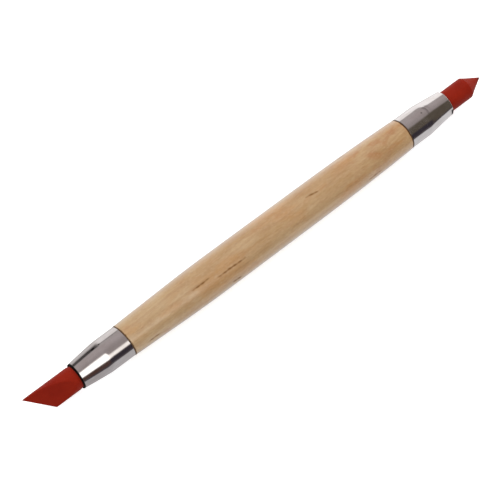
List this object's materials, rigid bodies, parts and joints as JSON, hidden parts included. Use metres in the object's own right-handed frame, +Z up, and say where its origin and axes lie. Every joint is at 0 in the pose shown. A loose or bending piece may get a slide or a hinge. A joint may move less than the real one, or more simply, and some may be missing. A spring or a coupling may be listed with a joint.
{
  "type": "clay shaper tool",
  "caption": "Double-ended clay shaper: a turned wooden handle with a tapered metal ferrule at each end, holding a slanted rubber chisel tip and a rubber cone tip.",
  "frame": {"origin": "on the tool's axis at the middle of the handle's visible length", "axes": "+X along the tool towards the cone tip, with the chisel tip at -X, and +Z up; the chisel's middle plane is turned 29 degrees about X from the XY plane"},
  "size_m": [0.175, 0.0124, 0.0124],
  "materials": {
    "lacquered_wood": "satin clear lacquer on light hardwood with fine lengthwise grain",
    "bright_ferrule": "polished bright plating on thin drawn tube",
    "red_silicone": "matte-satin moulded silicone rubber, brick red",
    "cured_adhesive": "cured amber adhesive"
  },
  "bodies": {
    "root": {"handle": "lacquered_wood", "chisel_end_ferrule": "bright_ferrule", "cone_end_ferrule": "bright_ferrule", "chisel_tip": "red_silicone", "cone_tip": "red_silicone", "chisel_end_adhesive": "cured_adhesive", "cone_end_adhesive": "cured_adhesive"}
  },
  "joints": []
}
